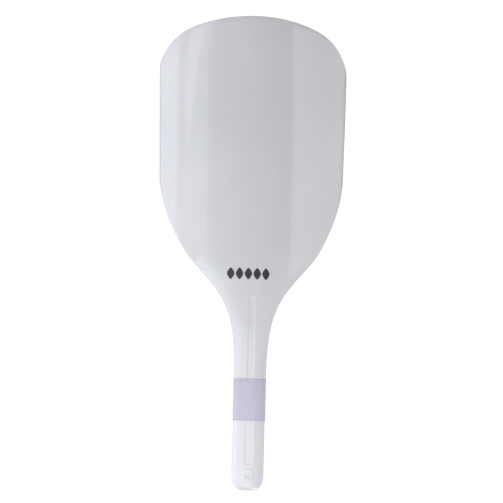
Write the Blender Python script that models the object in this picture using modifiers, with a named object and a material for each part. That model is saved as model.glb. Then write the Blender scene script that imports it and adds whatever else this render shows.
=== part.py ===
"""Hand-held face shield for hairspray: one thin moulded sheet, a film band and a printed mark.

Metres, +Z up. The convex front faces -Y, and X = 0 is the plane of symmetry. Heights are measured
from the tip of the handle. The origin is on the handle's front, at the middle of the grip.
"""

import math

import bmesh
import bpy
from mathutils import Vector
from mathutils.geometry import interpolate_bezier

# Overall
LENGTH = 0.340
GRIP_HEIGHT = 0.065
WALL = 0.0012
RIM_ROUND = 0.0004
GAP = 0.0003

# Bend across the sheet: a tight handle that opens into the wide blade
HANDLE_RADIUS = 0.045
BLADE_RADIUS = 0.094
BEND_START = 0.080
BEND_END = 0.170

# The handle's two long edges turn back a little more
EDGE_START = 0.0074
EDGE_SLOPE = 0.22
EDGE_CREASE = 0.0008
EDGE_FADE_LOW = 0.085
EDGE_FADE_HIGH = 0.120

# Flat outline, as half widths and heights
HANDLE_HALF = 0.0114
TIP_HEIGHT = 0.012
TIP_SIDE_PULL = 0.0095
TIP_END_PULL = 0.0080
NECK_START = 0.0693
NECK_PULL = 0.0556
FLARE_HALF = 0.0454
FLARE_HEIGHT = 0.1614
FLARE_ANGLE = math.radians(44.0)
FLARE_PULL_DOWN = 0.0412
FLARE_PULL_UP = 0.0119
CHEEK_HALF = 0.0761
CHEEK_HEIGHT = 0.2257
CHEEK_PULL = 0.0223
CORNER_HALF = 0.0791
CORNER_HEIGHT = 0.3047
CORNER_SIDE_PULL = 0.0096
CORNER_TOP_PULL = 0.0196
TOP_HALF = 0.0488
TOP_RADIUS = 0.1833

# Stiffening bead: a groove in the handle's front that stands out as a rib on its back
BEAD_LOW_HALF = 0.0036
BEAD_HIGH_HALF = 0.0026
BEAD_LOW = 0.0170
BEAD_HIGH = 0.1360
BEAD_DEPTH = 0.0003
BEAD_ROUND = 0.0002

# Round recess near the tip
DIMPLE_RADIUS = 0.0026
DIMPLE_DEPTH = 0.0003
DIMPLE_HEIGHT = 0.0110

# Film band
BAND_LOW = 0.0482
BAND_HIGH = 0.0776
BAND_FILM = 0.00025
BAND_FRONT_STEPS = 12

# Printed mark, a little to one side of the middle
MARK_HEIGHT = 0.1516
MARK_ACROSS = -0.0032
MARK_HALF = 0.0157
MARK_LOZENGES = 5
MARK_LOZENGE_TALL = 0.0084
MARK_BAR = 0.0012
MARK_INK = 0.00015

# Mesh density
COLUMNS = 28
FADE_TOP = 0.100
FADE_TIP = 0.020

OBJECT_NAME = "hairspray_face_shield"


def clear_scene():
    for obj in list(bpy.data.objects):
        bpy.data.objects.remove(obj, do_unlink=True)


def new_collection(name):
    collection = bpy.data.collections.new(name)
    bpy.context.scene.collection.children.link(collection)
    return collection


def plastic(name, color, roughness, transmission=0.0):
    material = bpy.data.materials.new(name)
    material.use_nodes = True
    shader = material.node_tree.nodes["Principled BSDF"]
    shader.inputs["Base Color"].default_value = (*color, 1.0)
    shader.inputs["Roughness"].default_value = roughness
    shader.inputs["Metallic"].default_value = 0.0
    shader.inputs["Transmission Weight"].default_value = transmission
    return material


def make_object(name, mesh, collection, material=None):
    """An object of this mesh, or an empty where there is none."""
    obj = bpy.data.objects.new(name, mesh)
    collection.objects.link(obj)
    if material:
        mesh.materials.append(material)
    return obj


def mesh_of(name, bm, outwards=True):
    """The mesh of a closed body with its faces turned outwards, or of an open skin as it was drawn."""
    if outwards:
        bmesh.ops.recalc_face_normals(bm, faces=bm.faces)
    mesh = bpy.data.meshes.new(name)
    bm.to_mesh(mesh)
    bm.free()
    return mesh


def smoothstep(low, high, value):
    t = min(max((value - low) / (high - low), 0.0), 1.0)
    return t * t * (3 - 2 * t)


def bend_radius(height):
    """The sheet's radius across its width, which opens from the handle to the blade."""
    share = smoothstep(BEND_START, BEND_END, height)
    curvature = (1 - share) / HANDLE_RADIUS + share / BLADE_RADIUS
    return 1 / curvature


def on_front(across, height, inwards=0.0):
    """A point of the front face from its flat position, or one this far behind that face."""
    radius = bend_radius(height)
    angle = across / radius
    reach = radius - inwards
    past = max(abs(across) - EDGE_START, 0.0)
    turned = EDGE_SLOPE * (math.hypot(past, EDGE_CREASE) - EDGE_CREASE)
    turned *= 1 - smoothstep(EDGE_FADE_LOW, EDGE_FADE_HIGH, height)
    back = radius - reach * math.cos(angle) + turned
    return Vector((reach * math.sin(angle), back, height - GRIP_HEIGHT))


def bezier(start, pull_start, pull_end, end, points):
    """Points of one cubic stretch of the flat outline."""
    corners = [Vector((*corner, 0)) for corner in (start, pull_start, pull_end, end)]
    return [(p.x, p.y) for p in interpolate_bezier(*corners, points)]


def evenly(points, count):
    """The same line as this many points at equal distances."""
    steps = [math.dist(a, b) for a, b in zip(points, points[1:])]
    spacing = sum(steps) / (count - 1)
    spaced, done, target = [points[0]], 0.0, spacing
    for (a, b), step in zip(zip(points, points[1:]), steps):
        while len(spaced) < count - 1 and done + step >= target:
            t = (target - done) / step
            spaced.append((a[0] + t * (b[0] - a[0]), a[1] + t * (b[1] - a[1])))
            target += spacing
        done += step
    return spaced + [points[-1]]


def flat_outline():
    """Half of the flat outline in three lines: tip end, side and top, meeting halfway round the corners."""
    tip = bezier(
        (HANDLE_HALF, TIP_HEIGHT),
        (HANDLE_HALF, TIP_HEIGHT - TIP_SIDE_PULL),
        (TIP_END_PULL, 0),
        (0, 0),
        9,
    )
    lean = math.sin(FLARE_ANGLE), math.cos(FLARE_ANGLE)
    neck = bezier(
        (HANDLE_HALF, NECK_START),
        (HANDLE_HALF, NECK_START + NECK_PULL),
        (FLARE_HALF - FLARE_PULL_DOWN * lean[0], FLARE_HEIGHT - FLARE_PULL_DOWN * lean[1]),
        (FLARE_HALF, FLARE_HEIGHT),
        20,
    )
    side_lean = (CORNER_HALF - CHEEK_HALF) / (CORNER_HEIGHT - CHEEK_HEIGHT)
    cheek = bezier(
        (FLARE_HALF, FLARE_HEIGHT),
        (FLARE_HALF + FLARE_PULL_UP * lean[0], FLARE_HEIGHT + FLARE_PULL_UP * lean[1]),
        (CHEEK_HALF - CHEEK_PULL * side_lean, CHEEK_HEIGHT - CHEEK_PULL),
        (CHEEK_HALF, CHEEK_HEIGHT),
        13,
    )
    top_centre = LENGTH - TOP_RADIUS
    top_angle = math.asin(TOP_HALF / TOP_RADIUS)
    top_start = (TOP_HALF, top_centre + TOP_RADIUS * math.cos(top_angle))
    corner = bezier(
        (CORNER_HALF, CORNER_HEIGHT),
        (CORNER_HALF + CORNER_SIDE_PULL * side_lean, CORNER_HEIGHT + CORNER_SIDE_PULL),
        (
            top_start[0] + CORNER_TOP_PULL * math.cos(top_angle),
            top_start[1] - CORNER_TOP_PULL * math.sin(top_angle),
        ),
        top_start,
        15,
    )
    arc = [top_angle * (1 - i / 12) for i in range(1, 13)]
    top = corner[7:] + [(TOP_RADIUS * math.sin(a), top_centre + TOP_RADIUS * math.cos(a)) for a in arc]
    handle = evenly([(HANDLE_HALF, TIP_HEIGHT), (HANDLE_HALF, NECK_START)], 12)
    blade = evenly([(CHEEK_HALF, CHEEK_HEIGHT), (CORNER_HALF, CORNER_HEIGHT)], 14)
    side = tip[4::-1] + handle[1:] + neck[1:] + cheek[1:] + blade[1:] + corner[1:8]
    return tip[4:], side, top


def flat_rows():
    """The flat sheet as rows of points, which curve towards the tip and the top."""
    tip, side, top = flat_outline()
    half = COLUMNS // 2
    ends = [evenly(line, half + 1)[::-1] for line in (tip, top)]
    (tip_half, tip_height), (top_half, top_height) = side[0], side[-1]
    rows = []
    for width, height in side:
        near_tip = 1 - smoothstep(tip_height, tip_height + FADE_TIP, height)
        near_top = smoothstep(top_height - FADE_TOP, top_height, height)
        right = []
        for step in range(half + 1):
            share = step / half
            tip_point, top_point = ends[0][step], ends[1][step]
            across = (
                share * width
                + near_tip * (tip_point[0] - share * tip_half)
                + near_top * (top_point[0] - share * top_half)
            )
            up = (
                height
                + near_tip * (tip_point[1] - tip_height)
                + near_top * (top_point[1] - top_height)
            )
            right.append((across, up))
        rows.append([(-across, up) for across, up in right[:0:-1]] + right)
    return rows


def skin_mesh():
    """The front face of the sheet, as one grid of quads."""
    bm = bmesh.new()
    rows = [[bm.verts.new(on_front(*point)) for point in row] for row in flat_rows()]
    for low, high in zip(rows, rows[1:]):
        for i in range(COLUMNS):
            bm.faces.new((low[i], low[i + 1], high[i + 1], high[i]))
    return mesh_of("shield", bm, outwards=False)


def bead_outline(widened, steps=8):
    """The bead seen from the front, as (across, height) points: two round ends of unlike size."""
    ends = (
        (BEAD_HIGH - BEAD_HIGH_HALF, BEAD_HIGH_HALF + widened, 0.0),
        (BEAD_LOW + BEAD_LOW_HALF, BEAD_LOW_HALF + widened, math.pi),
    )
    points = []
    for centre, half, start in ends:
        for i in range(steps + 1):
            angle = start + math.pi * i / steps
            points.append((half * math.cos(angle), centre + half * math.sin(angle)))
    return points


def bead_mesh(name, widened, front, back):
    """A long bar with round ends between two depths, with the edges of its back rounded."""
    bm = bmesh.new()
    ring = [bm.verts.new((x, front, height - GRIP_HEIGHT)) for x, height in bead_outline(widened)]
    moved = bmesh.ops.extrude_face_region(bm, geom=[bm.faces.new(ring)])["geom"]
    verts = [item for item in moved if isinstance(item, bmesh.types.BMVert)]
    bmesh.ops.translate(bm, verts=verts, vec=(0, back - front, 0))
    halfway = (front + back) / 2
    back_edges = [edge for edge in bm.edges if all(v.co.y > halfway for v in edge.verts)]
    bmesh.ops.bevel(bm, geom=back_edges, offset=BEAD_ROUND, segments=3, affect="EDGES", profile=0.5)
    return mesh_of(name, bm)


def dimple_mesh():
    bm = bmesh.new()
    bmesh.ops.create_cone(
        bm, cap_ends=True, segments=32, radius1=DIMPLE_RADIUS, radius2=DIMPLE_RADIUS, depth=2 * WALL
    )
    return mesh_of("dimple_tool", bm)


def shape_with(obj, mesh, operation, collection):
    """Adds this mesh to the object or takes it away, and gives back the tool that holds it."""
    tool = make_object(mesh.name, mesh, collection)
    tool.hide_render = True
    tool.display_type = "WIRE"
    modifier = obj.modifiers.new(tool.name, "BOOLEAN")
    modifier.operation = operation
    modifier.solver = "EXACT"
    modifier.object = tool
    return tool


def make_shield(parts, tools):
    """The whole moulding: blade, neck and handle in one wall, with the bead and the round recess."""
    milky = plastic("milky_plastic", (0.80, 0.83, 0.88), 0.18, transmission=0.45)
    shield = make_object("shield", skin_mesh(), parts, milky)
    wall = shield.modifiers.new("wall", "SOLIDIFY")
    wall.thickness = WALL
    wall.offset = -1.0
    wall.use_even_offset = True
    rim = shield.modifiers.new("rim", "BEVEL")
    rim.width = RIM_ROUND
    rim.segments = 2
    rim.limit_method = "ANGLE"
    rim.angle_limit = math.radians(50)
    rib = bead_mesh("bead_rib_tool", WALL / 2, WALL / 2, WALL + BEAD_DEPTH)
    shape_with(shield, rib, "UNION", tools)
    shape_with(shield, bead_mesh("bead_groove_tool", 0.0, -WALL, BEAD_DEPTH), "DIFFERENCE", tools)
    dimple = shape_with(shield, dimple_mesh(), "DIFFERENCE", tools)
    dimple.location = (0, DIMPLE_DEPTH - WALL, DIMPLE_HEIGHT - GRIP_HEIGHT)
    dimple.rotation_euler = (math.radians(90), 0, 0)
    return shield


def band_section():
    """The film's inner face seen from above: along the bent front and straight across the hollow back."""
    corner = on_front(HANDLE_HALF, BAND_LOW)
    edge_back = on_front(HANDLE_HALF, BAND_LOW, WALL)
    side = corner.x + GAP
    steps = range(BAND_FRONT_STEPS + 1)
    across = [HANDLE_HALF * step / BAND_FRONT_STEPS for step in steps]
    front = [on_front(place, BAND_LOW, -GAP) for place in across]
    right = [(point.x, point.y) for point in front]
    right += [(side, corner.y + GAP), (side, edge_back.y), (edge_back.x, edge_back.y + GAP)]
    return right + [(-x, y) for x, y in right[:0:-1]]


def make_band(parts):
    """A film sleeve stretched round the handle and across its hollow back."""
    bm = bmesh.new()
    low, high = BAND_LOW - GRIP_HEIGHT, BAND_HIGH - GRIP_HEIGHT
    levels = [[bm.verts.new((x, y, z)) for x, y in band_section()] for z in (low, high)]
    for i, (a, b) in enumerate(zip(*levels)):
        bm.faces.new((levels[0][i - 1], a, b, levels[1][i - 1]))
    lilac = plastic("lilac_film", (0.63, 0.60, 0.75), 0.25, transmission=0.35)
    band = make_object("handle_band", mesh_of("handle_band", bm, outwards=False), parts, lilac)
    film = band.modifiers.new("film", "SOLIDIFY")
    film.thickness = BAND_FILM
    film.offset = 1.0
    film.use_even_offset = True
    return band


def mark_half_height(across):
    """Half the mark's height this far from its middle: a bar with a row of lozenges on it."""
    pitch = 2 * MARK_HALF / MARK_LOZENGES
    from_centre = abs((across + MARK_HALF) % pitch - pitch / 2) / (pitch / 2)
    return max(MARK_BAR / 2, MARK_LOZENGE_TALL / 2 * (1 - from_centre))


def make_mark(parts):
    """A plain row of joined lozenges, printed on the front of the blade above the bead."""
    bm = bmesh.new()
    steps = MARK_LOZENGES * 16
    rows = []
    for i in range(steps + 1):
        across = MARK_HALF * (2 * i / steps - 1)
        rise = mark_half_height(min(across, MARK_HALF - GAP))
        rows.append([
            [
                bm.verts.new(on_front(MARK_ACROSS + across, MARK_HEIGHT + side * rise, depth))
                for side in (-1, 1)
            ]
            for depth in (-GAP, -GAP - MARK_INK)
        ])
    for (back_a, front_a), (back_b, front_b) in zip(rows, rows[1:]):
        bm.faces.new((*back_a, *reversed(back_b)))
        bm.faces.new((*front_a, *reversed(front_b)))
        bm.faces.new((back_a[0], front_a[0], front_b[0], back_b[0]))
        bm.faces.new((back_a[1], front_a[1], front_b[1], back_b[1]))
    for back, front in (rows[0], rows[-1]):
        bm.faces.new((*back, *reversed(front)))
    ink = plastic("black_ink", (0.02, 0.02, 0.022), 0.45)
    return make_object("printed_mark", mesh_of("printed_mark", bm), parts, ink)


def main():
    clear_scene()
    parts = new_collection(OBJECT_NAME)
    tools = new_collection(OBJECT_NAME + "_tools")
    root = make_object(OBJECT_NAME + "_root", None, parts)
    for obj in (make_shield(parts, tools), make_band(parts), make_mark(parts)):
        obj.parent = root


main()
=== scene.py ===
"""The look of the hairspray face shield: a finer moulding, film band and mark round the fixed CAD frame."""

import math

import bmesh
import bpy
import numpy as np
from mathutils import Matrix, Vector
from mathutils.geometry import interpolate_bezier


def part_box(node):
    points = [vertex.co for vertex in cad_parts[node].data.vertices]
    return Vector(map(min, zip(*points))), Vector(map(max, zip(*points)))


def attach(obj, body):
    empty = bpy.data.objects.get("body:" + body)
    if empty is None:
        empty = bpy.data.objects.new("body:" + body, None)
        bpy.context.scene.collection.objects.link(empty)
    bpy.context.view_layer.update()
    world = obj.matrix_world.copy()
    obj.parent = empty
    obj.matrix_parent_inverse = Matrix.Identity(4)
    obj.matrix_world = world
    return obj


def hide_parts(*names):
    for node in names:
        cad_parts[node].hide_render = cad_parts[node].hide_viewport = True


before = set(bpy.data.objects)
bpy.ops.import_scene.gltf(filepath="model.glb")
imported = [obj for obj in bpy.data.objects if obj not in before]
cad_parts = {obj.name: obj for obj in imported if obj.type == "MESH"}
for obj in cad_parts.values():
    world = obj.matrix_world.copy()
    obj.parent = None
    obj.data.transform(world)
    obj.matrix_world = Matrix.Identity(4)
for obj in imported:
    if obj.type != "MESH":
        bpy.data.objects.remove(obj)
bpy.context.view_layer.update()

shield_low, shield_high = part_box("shield")
band_low, band_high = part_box("handle_band")
mark_low, mark_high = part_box("printed_mark")

MM = 0.001

# The sheet, as in the CAD: flat half widths and heights above the tip of the handle
TIP_Z = shield_low[2]
LENGTH = shield_high[2] - TIP_Z
WALL = 1.2 * MM
HANDLE_RADIUS = 45 * MM
BLADE_RADIUS = 94 * MM
BEND_START, BEND_END = 80 * MM, 170 * MM
HANDLE_HALF = 11.4 * MM
TIP_HEIGHT = 12 * MM
TIP_SIDE_PULL, TIP_END_PULL = 9.5 * MM, 8.0 * MM
NECK_START, NECK_PULL = 69.3 * MM, 55.6 * MM
FLARE_HALF, FLARE_HEIGHT = 45.4 * MM, 161.4 * MM
FLARE_ANGLE = math.radians(44.0)
FLARE_PULL_DOWN, FLARE_PULL_UP = 41.2 * MM, 11.9 * MM
CHEEK_HALF, CHEEK_HEIGHT, CHEEK_PULL = 76.1 * MM, 225.7 * MM, 22.3 * MM
CORNER_HALF, CORNER_HEIGHT = 79.1 * MM, 304.7 * MM
CORNER_SIDE_PULL, CORNER_TOP_PULL = 9.6 * MM, 19.6 * MM
TOP_HALF, TOP_RADIUS = 48.8 * MM, 183.3 * MM
FADE_TOP, FADE_TIP = 100 * MM, 20 * MM

EDGE_START, EDGE_SLOPE, EDGE_CREASE = 7.4 * MM, 0.22, 0.8 * MM
EDGE_FADE_LOW, EDGE_FADE_HIGH = 85 * MM, 120 * MM

# Relief: the bead pressed through the handle, the round recess near the tip and the gate mark
BEAD_LOW, BEAD_HIGH = 17.0 * MM, 136.0 * MM
BEAD_LOW_HALF, BEAD_HIGH_HALF = 3.6 * MM, 2.6 * MM
BEAD_DEPTH, BEAD_SHOULDER = 0.2 * MM, 1.5 * MM
DIMPLE_HEIGHT, DIMPLE_RADIUS, DIMPLE_DEPTH = 11.0 * MM, 2.6 * MM, 0.2 * MM
LIP_RADIUS, LIP_RISE = 5.0 * MM, 0.12 * MM
GATE_HEIGHT, GATE_RADIUS, GATE_RISE = 207.8 * MM, 2.6 * MM, 0.3 * MM
WAVE = 0.16 * MM

RIM = WALL / 2
RIM_STEPS = 6
INNER_COLUMNS = [0, 0.5, 0.9] + [1.3 + 0.2 * step for step in range(18)]
OUTER_COLUMNS = 30
FINE_ROW, PLAIN_ROW, FINE_REACH = 0.3 * MM, 2.2 * MM, 4.5 * MM

# Film band: its thickness, its slack round the handle, and how it swells at its two cut edges
BAND_FILM, BAND_SLACK = 0.12 * MM, 0.08 * MM
BAND_STEPS, BAND_FRONT_COLUMNS, BAND_TURN_COLUMNS = 40, 25, 8
BAND_TURN = math.radians(75)
BAND_SWELL, BAND_SWELL_REACH = 0.006, 0.02

# Printed mark: lozenges with slightly swollen sides, laid on the front
LOZENGES, LOZENGE_POINTS = 5, 48
LOZENGE_SWELL, LOZENGE_SHARE = 1.35, 0.43
INK_LIFT, INK_FILM = 0.03 * MM, 0.03 * MM
INK_RINGS = (1.0, 0.75, 0.5, 0.25)

# Camera: the photograph's viewing angle
CAMERA_DISTANCE = 0.9895
CAMERA_LENS = 99.8
CAMERA_YAW, CAMERA_PITCH, CAMERA_ROLL = math.radians(-5.4), math.radians(-7.5), math.radians(1.46)
AIM = Vector((-0.00138, 0.0, TIP_Z + 0.1674))

# Light from the surround by the sine of its elevation, and how bright the camera sees the surround
SURROUND = {"From Min": -0.15, "From Max": 0.38, "To Min": 0.79, "To Max": 0.24}
BACKDROP = 1.05

# Panels round the blade: name, degrees round to the left, height, size, power and colour
PANEL_DISTANCE = 1.0
PANELS = (
    ("left_far", 86, 0.10, (0.48, 1.5), 4.7, (0.88, 0.94, 1.0)),
    ("left_near", 56, 0.10, (0.58, 1.5), 2.3, (0.96, 0.98, 1.0)),
    ("right_wide", -72, 0.38, (1.15, 0.53), 2.4, (1.0, 0.965, 0.98)),
)


def smoothstep(low, high, value):
    t = np.clip((np.asarray(value, float) - low) / (high - low), 0, 1)
    return t * t * (3 - 2 * t)


# ---------------------------------------------------------------- the sheet


def bezier(start, pull_start, pull_end, end, points):
    corners = [Vector((*corner, 0)) for corner in (start, pull_start, pull_end, end)]
    return [(p.x, p.y) for p in interpolate_bezier(*corners, points)]


def half_outline():
    """The flat outline from the tip's centre up the right side to the top's centre, and its two corners."""
    tip = bezier(
        (0, 0),
        (TIP_END_PULL, 0),
        (HANDLE_HALF, TIP_HEIGHT - TIP_SIDE_PULL),
        (HANDLE_HALF, TIP_HEIGHT),
        41,
    )
    lean = math.sin(FLARE_ANGLE), math.cos(FLARE_ANGLE)
    handle = [(HANDLE_HALF, h) for h in np.linspace(TIP_HEIGHT, NECK_START, 60)]
    neck = bezier(
        (HANDLE_HALF, NECK_START),
        (HANDLE_HALF, NECK_START + NECK_PULL),
        (FLARE_HALF - FLARE_PULL_DOWN * lean[0], FLARE_HEIGHT - FLARE_PULL_DOWN * lean[1]),
        (FLARE_HALF, FLARE_HEIGHT),
        120,
    )
    side_lean = (CORNER_HALF - CHEEK_HALF) / (CORNER_HEIGHT - CHEEK_HEIGHT)
    cheek = bezier(
        (FLARE_HALF, FLARE_HEIGHT),
        (FLARE_HALF + FLARE_PULL_UP * lean[0], FLARE_HEIGHT + FLARE_PULL_UP * lean[1]),
        (CHEEK_HALF - CHEEK_PULL * side_lean, CHEEK_HEIGHT - CHEEK_PULL),
        (CHEEK_HALF, CHEEK_HEIGHT),
        80,
    )
    side = [
        (CHEEK_HALF + side_lean * (h - CHEEK_HEIGHT), h)
        for h in np.linspace(CHEEK_HEIGHT, CORNER_HEIGHT, 80)
    ]
    centre = LENGTH - TOP_RADIUS
    top_angle = math.asin(TOP_HALF / TOP_RADIUS)
    top_start = (TOP_HALF, centre + TOP_RADIUS * math.cos(top_angle))
    corner = bezier(
        (CORNER_HALF, CORNER_HEIGHT),
        (CORNER_HALF + CORNER_SIDE_PULL * side_lean, CORNER_HEIGHT + CORNER_SIDE_PULL),
        (
            top_start[0] + CORNER_TOP_PULL * math.cos(top_angle),
            top_start[1] - CORNER_TOP_PULL * math.sin(top_angle),
        ),
        top_start,
        61,
    )
    arc = [
        (TOP_RADIUS * math.sin(a), centre + TOP_RADIUS * math.cos(a))
        for a in np.linspace(top_angle, 0, 60)
    ]
    stretches = [tip, handle[1:], neck[1:], cheek[1:], side[1:], corner[1:], arc[1:]]
    points = np.array([point for stretch in stretches for point in stretch])
    low_corner = len(tip) // 2
    high_corner = len(points) - len(arc) + 1 - len(corner) // 2
    return points, low_corner, high_corner


def moved_in(points, distance):
    """The half outline moved inwards, square to itself. Past each end it goes on as its mirror image."""
    ahead = np.vstack([points[1:], points[-2] * (-1, 1)])
    behind = np.vstack([points[1] * (-1, 1), points[:-1]])
    along = ahead - behind
    along /= np.linalg.norm(along, axis=1)[:, None]
    return points - distance * np.column_stack([along[:, 1], -along[:, 0]])


def bend_radius(height):
    share = smoothstep(BEND_START, BEND_END, height)
    return 1 / ((1 - share) / HANDLE_RADIUS + share / BLADE_RADIUS)


def on_front(across, height, inwards=0.0):
    """Points of the front face, or this far behind it, from their flat places."""
    radius = bend_radius(height)
    angle = across / radius
    reach = radius - inwards
    past = np.maximum(np.abs(across) - EDGE_START, 0)
    turned = EDGE_SLOPE * (np.hypot(past, EDGE_CREASE) - EDGE_CREASE)
    turned = turned * (1 - smoothstep(EDGE_FADE_LOW, EDGE_FADE_HIGH, height))
    back = radius - reach * np.cos(angle) + turned
    return np.stack(np.broadcast_arrays(reach * np.sin(angle), back, height + TIP_Z), axis=-1)


def bead(across, height, widened=0.0):
    """How far the bead pushes the sheet back, with this much added to its half width."""
    low, high = BEAD_LOW + BEAD_LOW_HALF, BEAD_HIGH - BEAD_HIGH_HALF
    on_line = np.clip(height, low, high)
    half = np.interp(on_line, (low, high), (BEAD_LOW_HALF, BEAD_HIGH_HALF))
    inside = half + widened - np.hypot(across, height - on_line)
    return BEAD_DEPTH * smoothstep(0, BEAD_SHOULDER, inside)


def front_sink(across, height):
    """How far the front lies behind the plain bent sheet."""
    from_dimple = np.hypot(across, height - DIMPLE_HEIGHT)
    dimple = DIMPLE_DEPTH * smoothstep(DIMPLE_RADIUS + 0.1 * MM, DIMPLE_RADIUS - 1.0 * MM, from_dimple)
    lip = LIP_RISE * smoothstep(LIP_RADIUS, DIMPLE_RADIUS + 0.6 * MM, from_dimple)
    from_gate = np.hypot(across, height - GATE_HEIGHT) / GATE_RADIUS
    gate = GATE_RISE * (smoothstep(1.0, 0.75, from_gate) - 0.7 * smoothstep(0.6, 0.25, from_gate))
    return bead(across, height) + dimple - lip * (dimple < DIMPLE_DEPTH / 2) - gate


def ripple(across, height):
    """The slight unevenness of a thin moulding, on the blade only."""
    waves = (
        np.sin(across / (19 * MM) + height / (34 * MM))
        + 0.6 * np.sin(height / (23 * MM) - across / (41 * MM) + 1.3)
        + 0.4 * np.sin(across / (9 * MM) - height / (90 * MM) + 0.4)
    )
    return WAVE * waves * smoothstep(120 * MM, 190 * MM, height)


def row_heights(low, high):
    """Heights of the rows, closer together at the recess, the bead's ends and the gate mark."""
    heights, height = [], low
    fine_places = (DIMPLE_HEIGHT, BEAD_LOW, BEAD_HIGH - MM, GATE_HEIGHT)
    while height < high:
        heights.append(height)
        near = min(abs(height - place) for place in fine_places)
        height += FINE_ROW if near < FINE_REACH else PLAIN_ROW
    if high - heights[-1] < MM:
        heights.pop()
    return np.array(heights + [high])


def end_line(line, count_inner, edge):
    """Places of the columns on an end line that runs from the centre to the corner."""
    inner = [(u, np.interp(u, line[:, 0], line[:, 1])) for u in count_inner]
    keep = line[line[:, 0] > edge]
    rest = np.vstack([inner[-1], keep])
    run = np.concatenate([[0], np.cumsum(np.linalg.norm(np.diff(rest, axis=0), axis=1))])
    spots = np.linspace(0, run[-1], OUTER_COLUMNS + 1)[1:]
    outer = np.column_stack([np.interp(spots, run, rest[:, 0]), np.interp(spots, run, rest[:, 1])])
    return np.vstack([inner, outer])


def flat_grid():
    """The flat sheet as a grid of (across, height), whose rows curve towards the tip and the top."""
    points, low_corner, high_corner = half_outline()
    points = moved_in(points, RIM)
    inner = np.array(INNER_COLUMNS) * MM
    edge = inner[-1]
    shares = np.arange(1, OUTER_COLUMNS + 1) / OUTER_COLUMNS
    tip = end_line(points[: low_corner + 1], inner, edge)
    top = end_line(points[: high_corner - 1 : -1], inner, edge)
    side = points[low_corner : high_corner + 1]
    heights = row_heights(side[0, 1], side[-1, 1])
    widths = np.interp(heights, side[:, 1], side[:, 0])

    def plain(width, height):
        across = np.concatenate([inner, edge + (width - edge) * shares])
        return np.column_stack([across, np.full(len(across), height)])

    rows = []
    for width, height in zip(widths, heights):
        near_tip = 1 - smoothstep(heights[0], heights[0] + FADE_TIP, height)
        near_top = smoothstep(heights[-1] - FADE_TOP, heights[-1], height)
        row = plain(width, height)
        row = row + near_tip * (tip - plain(widths[0], heights[0]))
        row = row + near_top * (top - plain(widths[-1], heights[-1]))
        rows.append(np.vstack([row[:0:-1] * (-1, 1), row]))
    return np.array(rows)


def border_loop(row_count, column_count):
    """The grid's border as one closed loop of (row, column), anticlockwise seen from the front."""
    bottom = [(0, c) for c in range(column_count)]
    right = [(r, column_count - 1) for r in range(1, row_count)]
    top = [(row_count - 1, c) for c in range(column_count - 2, -1, -1)]
    left = [(r, 0) for r in range(row_count - 2, 0, -1)]
    return bottom + right + top + left


def sheet_mesh():
    """The closed moulding: a front with its relief, a plain back and a half-round rim between them."""
    flat = flat_grid()
    across, height = flat[..., 0], flat[..., 1]
    row_count, column_count = across.shape
    lift = ripple(across, height)
    front = on_front(across, height, front_sink(across, height) + lift)
    back = on_front(across, height, WALL + bead(across, height, WALL / 2) + lift)
    index = np.arange(row_count * column_count).reshape(row_count, column_count)
    corners = index[:-1, :-1], index[:-1, 1:], index[1:, 1:], index[1:, :-1]
    quads = np.stack(corners, axis=-1).reshape(-1, 4)
    count = row_count * column_count
    loop = border_loop(row_count, column_count)
    rows, columns = np.array(loop).T
    edge_front, edge_back = front[rows, columns], back[rows, columns]
    middle = (edge_front + edge_back) / 2
    along = np.roll(middle, -1, axis=0) - np.roll(middle, 1, axis=0)
    through = edge_front - edge_back
    outwards = np.cross(along, through)
    outwards /= np.linalg.norm(outwards, axis=1)[:, None]
    rings = [index[rows, columns]]
    points = [front.reshape(-1, 3), back.reshape(-1, 3)]
    for step in range(1, RIM_STEPS):
        angle = math.pi * step / RIM_STEPS
        ring = middle + 0.5 * math.cos(angle) * through + RIM * math.sin(angle) * outwards
        rings.append(2 * count + (step - 1) * len(loop) + np.arange(len(loop)))
        points.append(ring)
    rings.append(count + index[rows, columns])
    rim = []
    for ring, following in zip(rings, rings[1:]):
        rim.append(np.stack([ring, following, np.roll(following, -1), np.roll(ring, -1)], axis=-1))
    faces = np.vstack([quads, quads[:, ::-1] + count] + rim)
    mesh = bpy.data.meshes.new("shield_sheet")
    mesh.from_pydata(np.vstack(points).tolist(), [], faces.tolist())
    mesh.validate()
    return mesh


def make_object(name, mesh, material=None):
    obj = bpy.data.objects.new(name, mesh)
    bpy.context.scene.collection.objects.link(obj)
    if material:
        mesh.materials.append(material)
    return obj


def smooth(obj, degrees):
    mesh = obj.data
    mesh.shade_smooth()
    mesh.set_sharp_from_angle(angle=math.radians(degrees))


def applied(obj):
    """Bakes the object's modifiers into its mesh."""
    graph = bpy.context.evaluated_depsgraph_get()
    mesh = bpy.data.meshes.new_from_object(obj.evaluated_get(graph))
    obj.modifiers.clear()
    old = obj.data
    obj.data = mesh
    mesh.name = obj.name
    bpy.data.meshes.remove(old)


def make_sheet(material):
    sheet = make_object("shield_sheet", sheet_mesh(), material)
    smooth(sheet, 40)
    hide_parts("shield")
    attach(sheet, "root")


# ---------------------------------------------------------------- band and mark


def band_section(height):
    """The film's inner face seen from above: along the bent front and straight across the hollow back."""
    across = HANDLE_HALF * np.linspace(0, 1, BAND_FRONT_COLUMNS)
    front = on_front(across, height, -BAND_SLACK)[:, :2]
    back = on_front(HANDLE_HALF - RIM, height, WALL + BAND_SLACK)[:2]
    middle = (front[-1] + back) / 2 + (BAND_SLACK, 0)
    turn = np.linspace(BAND_TURN, -BAND_TURN, BAND_TURN_COLUMNS)
    reach = (back[1] - front[-1, 1]) / 2
    side = middle + np.column_stack([0.6 * reach * np.cos(turn) + BAND_SLACK, -reach * np.sin(turn)])
    right = np.vstack([front, side, back])
    return np.vstack([right, right[:0:-1] * (-1, 1)])


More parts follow.
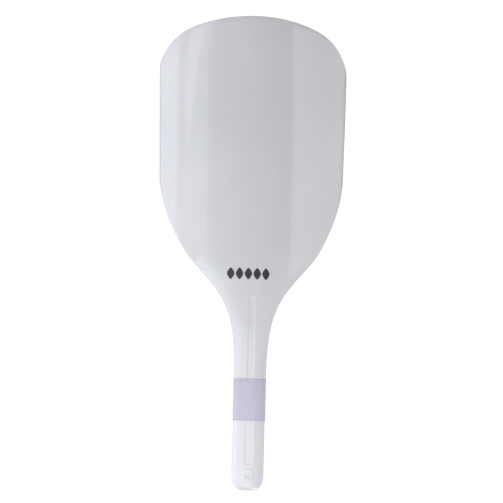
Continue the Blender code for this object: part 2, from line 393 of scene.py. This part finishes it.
def make_band(material):
    """The stretched film sleeve, drawn in a little between its cut edges."""
    section = band_section(band_low[2] - TIP_Z)
    bm = bmesh.new()
    levels = []
    for share in np.linspace(0, 1, BAND_STEPS + 1):
        z = band_low[2] + share * (band_high[2] - band_low[2])
        swell = 1 + BAND_SWELL * math.exp(-min(share, 1 - share) / BAND_SWELL_REACH)
        levels.append([bm.verts.new((x * swell, y, z)) for x, y in section])
    for level, following in zip(levels, levels[1:]):
        for i in range(len(level)):
            bm.faces.new((level[i - 1], level[i], following[i], following[i - 1]))
    mesh = bpy.data.meshes.new("film_band")
    bm.to_mesh(mesh)
    bm.free()
    band = make_object("film_band", mesh, material)
    film = band.modifiers.new("film", "SOLIDIFY")
    film.thickness = BAND_FILM
    film.offset = 1.0
    applied(band)
    smooth(band, 35)
    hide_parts("handle_band")
    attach(band, "root")


def ink_shapes():
    """The plain mark as flat outlines: a row of separate lozenges as wide and tall as the CAD's mark."""
    half = (mark_high[0] - mark_low[0]) / 2
    tall = (mark_high[2] - mark_low[2]) / 2
    middle = (mark_high[2] + mark_low[2]) / 2 - TIP_Z
    sideways = (mark_high[0] + mark_low[0]) / 2
    pitch = 2 * half / LOZENGES
    shapes = []
    for i in range(LOZENGES):
        centre = sideways - half + (i + 0.5) * pitch
        outline = []
        for step in range(LOZENGE_POINTS):
            angle = 2 * math.pi * step / LOZENGE_POINTS
            c, s = math.cos(angle), math.sin(angle)
            size = (abs(c) ** LOZENGE_SWELL + abs(s) ** LOZENGE_SWELL) ** (-1 / LOZENGE_SWELL)
            outline.append((centre + LOZENGE_SHARE * pitch * size * c, middle + tall * size * s))
        shapes.append(outline)
    return shapes


def make_mark(material):
    """Ink laid on the front of the blade, following its bend."""
    bm = bmesh.new()
    for outline in ink_shapes():
        rings = []
        outline = np.array(outline)
        centre = outline.mean(axis=0)
        for depth in (-INK_LIFT, -INK_LIFT - INK_FILM):
            for share in INK_RINGS:
                across, height = (centre + share * (outline - centre)).T
                spots = on_front(across, height, depth + ripple(across, height))
                rings.append([bm.verts.new(spot) for spot in spots])
        back, front = rings[: len(INK_RINGS)], rings[len(INK_RINGS) :]
        count = len(outline)
        for layer in (back, front):
            for ring, following in zip(layer, layer[1:]):
                for i in range(count):
                    bm.faces.new((ring[i - 1], ring[i], following[i], following[i - 1]))
            bm.faces.new(layer[-1])
        for i in range(count):
            bm.faces.new((back[0][i - 1], back[0][i], front[0][i], front[0][i - 1]))
    bmesh.ops.recalc_face_normals(bm, faces=bm.faces)
    mesh = bpy.data.meshes.new("ink_mark")
    bm.to_mesh(mesh)
    bm.free()
    mark = make_object("ink_mark", mesh, material)
    smooth(mark, 30)
    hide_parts("printed_mark")
    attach(mark, "root")


# ---------------------------------------------------------------- materials


class Nodes:
    """A short way to write a material's nodes."""

    def __init__(self, name):
        self.material = bpy.data.materials.new(name)
        self.material.use_nodes = True
        self.tree = self.material.node_tree
        self.shader = self.tree.nodes["Principled BSDF"]
        self.place = self.tree.nodes.new("ShaderNodeTexCoord").outputs["Object"]

    def set(self, **values):
        for name, value in values.items():
            self.shader.inputs[name.replace("_", " ")].default_value = value

    def link(self, source, target):
        self.tree.links.new(source, target)

    def stretched(self, scale):
        node = self.tree.nodes.new("ShaderNodeMapping")
        node.inputs["Scale"].default_value = scale
        self.link(self.place, node.inputs["Vector"])
        return node.outputs["Vector"]

    def noise(self, scale, detail=3.0, stretch=None, roughness=0.5):
        node = self.tree.nodes.new("ShaderNodeTexNoise")
        node.inputs["Scale"].default_value = scale
        node.inputs["Detail"].default_value = detail
        node.inputs["Roughness"].default_value = roughness
        self.link(self.stretched(stretch) if stretch else self.place, node.inputs["Vector"])
        return node.outputs["Fac"]

    def ramp(self, source, stops):
        node = self.tree.nodes.new("ShaderNodeValToRGB")
        ramp = node.color_ramp
        ramp.elements.remove(ramp.elements[1])
        for i, (position, color) in enumerate(stops):
            element = ramp.elements[0] if i == 0 else ramp.elements.new(position)
            element.position = position
            element.color = (*color, 1.0)
        self.link(source, node.inputs["Fac"])
        return node.outputs["Color"]

    def between(self, source, low, high):
        node = self.tree.nodes.new("ShaderNodeMapRange")
        node.inputs["To Min"].default_value = low
        node.inputs["To Max"].default_value = high
        self.link(source, node.inputs["Value"])
        return node.outputs["Result"]

    def bump(self, source, strength, distance, under=None):
        node = self.tree.nodes.new("ShaderNodeBump")
        node.inputs["Strength"].default_value = strength
        node.inputs["Distance"].default_value = distance
        self.link(source, node.inputs["Height"])
        if under:
            self.link(under, node.inputs["Normal"])
        return node.outputs["Normal"]


def milky_plastic():
    """Thin translucent plastic: cloudy, faintly blue, with long flow lines and fine handling scratches."""
    n = Nodes("milky_plastic_look")
    cloud = n.noise(14.0, 2.0)
    n.link(n.ramp(cloud, [(0.35, (0.735, 0.73, 0.76)), (0.65, (0.775, 0.765, 0.795))]),
           n.shader.inputs["Base Color"])
    n.link(n.between(n.noise(30.0, 4.0), 0.09, 0.15), n.shader.inputs["Roughness"])
    n.set(IOR=1.49, Transmission_Weight=0.30, Subsurface_Weight=0.25, Subsurface_Scale=0.002)
    n.set(Coat_Weight=0.4, Coat_Roughness=0.05)
    flow = n.bump(n.noise(5.0, 3.0, stretch=(14.0, 14.0, 1.0)), 0.10, 0.0004)
    scratch = n.bump(n.noise(260.0, 2.0, stretch=(1.0, 1.0, 9.0)), 0.05, 0.00006, under=flow)
    n.link(scratch, n.shader.inputs["Normal"])
    return n.material


def lilac_film():
    """Clear lilac film with a darker line along both cut edges, and light shrink wrinkles."""
    n = Nodes("lilac_film_look")
    n.set(IOR=1.46, Transmission_Weight=0.2, Coat_Weight=0.2, Coat_Roughness=0.1, Alpha=0.6)
    split = n.tree.nodes.new("ShaderNodeSeparateXYZ")
    n.link(n.place, split.inputs["Vector"])
    share = n.tree.nodes.new("ShaderNodeMapRange")
    share.inputs["From Min"].default_value = band_low[2]
    share.inputs["From Max"].default_value = band_high[2]
    n.link(split.outputs["Z"], share.inputs["Value"])
    film, line = (0.685, 0.66, 0.78), (0.55, 0.53, 0.65)
    stops = [
        (0.0, line), (0.012, line), (0.022, film), (0.915, film),
        (0.925, line), (0.935, film), (0.975, film), (0.985, line), (1.0, line),
    ]
    n.link(n.ramp(share.outputs["Result"], stops), n.shader.inputs["Base Color"])
    n.link(n.between(n.noise(60.0, 3.0), 0.14, 0.26), n.shader.inputs["Roughness"])
    n.link(n.bump(n.noise(90.0, 3.0, stretch=(1.0, 1.0, 4.0)), 0.25, 0.0002), n.shader.inputs["Normal"])
    return n.material


def black_ink():
    """Screen-printed ink: nearly black, a little uneven where it is thinner."""
    n = Nodes("black_ink_look")
    grain = n.noise(900.0, 4.0)
    n.link(n.ramp(grain, [(0.3, (0.012, 0.012, 0.014)), (0.7, (0.028, 0.028, 0.031))]),
           n.shader.inputs["Base Color"])
    n.link(n.between(grain, 0.32, 0.5), n.shader.inputs["Roughness"])
    n.link(n.bump(grain, 0.2, 0.00003), n.shader.inputs["Normal"])
    return n.material


def floor_paint():
    n = Nodes("pale_floor_look")
    n.link(n.ramp(n.noise(3.0, 2.0), [(0.3, (0.86, 0.86, 0.87)), (0.7, (0.9, 0.9, 0.9))]),
           n.shader.inputs["Base Color"])
    n.set(Roughness=0.7)
    return n.material


# ---------------------------------------------------------------- studio


def make_floor(material):
    bm = bmesh.new()
    bmesh.ops.create_circle(bm, cap_ends=True, segments=96, radius=2.4)
    mesh = bpy.data.meshes.new("floor")
    bm.to_mesh(mesh)
    bm.free()
    floor = make_object("floor", mesh, material)
    floor.location.z = TIP_Z - 0.32


def area_light(name, place, target, size, power, color=(1, 1, 1)):
    lamp = bpy.data.lights.new(name, "AREA")
    lamp.shape = "RECTANGLE"
    lamp.size, lamp.size_y = size
    lamp.energy = power
    lamp.color = color
    light = bpy.data.objects.new(name, lamp)
    bpy.context.scene.collection.objects.link(light)
    light.location = place
    aim = Vector(target) - Vector(place)
    light.rotation_euler = aim.to_track_quat("-Z", "Y").to_euler()
    return light


def make_world():
    """A white surround for the camera, and softer light on the object that is dimmer from above."""
    world = bpy.data.worlds.new("studio")
    bpy.context.scene.world = world
    world.use_nodes = True
    tree = world.node_tree
    place = tree.nodes.new("ShaderNodeTexCoord")
    split = tree.nodes.new("ShaderNodeSeparateXYZ")
    tree.links.new(place.outputs["Generated"], split.inputs["Vector"])
    light = tree.nodes.new("ShaderNodeMapRange")
    for name, value in SURROUND.items():
        light.inputs[name].default_value = value
    tree.links.new(split.outputs["Z"], light.inputs["Value"])
    path = tree.nodes.new("ShaderNodeLightPath")
    seen = tree.nodes.new("ShaderNodeMix")
    seen.inputs[3].default_value = BACKDROP
    tree.links.new(path.outputs["Is Camera Ray"], seen.inputs[0])
    tree.links.new(light.outputs["Result"], seen.inputs[2])
    tree.links.new(seen.outputs[0], tree.nodes["Background"].inputs["Strength"])
    tree.nodes["Background"].inputs["Color"].default_value = (1.0, 1.0, 1.0, 1.0)


def make_camera():
    cos_pitch = math.cos(CAMERA_PITCH)
    look = Vector((
        -math.sin(CAMERA_YAW) * cos_pitch, math.cos(CAMERA_YAW) * cos_pitch, -math.sin(CAMERA_PITCH)
    ))
    level = Vector((math.cos(CAMERA_YAW), math.sin(CAMERA_YAW), 0))
    upright = level.cross(look)
    right = math.cos(CAMERA_ROLL) * level + math.sin(CAMERA_ROLL) * upright
    up = -math.sin(CAMERA_ROLL) * level + math.cos(CAMERA_ROLL) * upright
    data = bpy.data.cameras.new("camera")
    data.lens = CAMERA_LENS
    data.sensor_width = 36.0
    data.clip_start = 0.01
    camera = bpy.data.objects.new("camera", data)
    bpy.context.scene.collection.objects.link(camera)
    turn = Matrix((right, up, -look)).transposed()
    camera.matrix_world = Matrix.Translation(AIM - CAMERA_DISTANCE * look) @ turn.to_4x4()
    bpy.context.scene.camera = camera


def round_about(degrees, distance, height):
    """A place this far round from the front towards the left, seen from the camera's side."""
    angle = math.radians(degrees)
    return (-distance * math.sin(angle), -distance * math.cos(angle), height)


def slanted_strip(name, ends, width, power):
    """A narrow panel between two places, facing the top of the blade."""
    low, high = Vector(ends[0]), Vector(ends[1])
    light = area_light(name, (low + high) / 2, (0, 0, 0.22), ((high - low).length, width), power)
    length_axis = (high - low).normalized()
    back_axis = light.rotation_euler.to_matrix().col[2]
    width_axis = back_axis.cross(length_axis).normalized()
    back_axis = length_axis.cross(width_axis)
    light.rotation_euler = Matrix((length_axis, width_axis, back_axis)).transposed().to_euler()


def make_lights():
    """Panels that the blade reflects as bands, one for the handle, a slanted streak and two low fills."""
    for name, degrees, height, size, power, color in PANELS:
        place = round_about(degrees, PANEL_DISTANCE, height)
        area_light(name, place, (0, 0, 0.10), size, power, color)
    before_handle = round_about(17.5, 1.1, -0.055)
    area_light("handle_front", before_handle, (0, 0, 0), (1.4, 0.37), 2.8, (0.92, 0.97, 1.0))
    streak = (round_about(64, 0.95, 0.42), round_about(46, 0.95, 0.64))
    slanted_strip("left_streak", streak, 0.13, 0.17)
    area_light("low_left", (-0.40, -0.36, -0.22), (0, 0, -0.01), (0.35, 0.25), 0.8, (0.94, 0.97, 1.0))
    area_light("low_right", (0.16, -0.30, -0.22), (0, 0, -0.03), (0.2, 0.15), 0.6, (0.98, 0.99, 1.0))


make_camera()
make_world()
make_lights()
make_floor(floor_paint())
make_sheet(milky_plastic())
make_band(lilac_film())
make_mark(black_ink())
bpy.context.scene.view_settings.view_transform = "Standard"
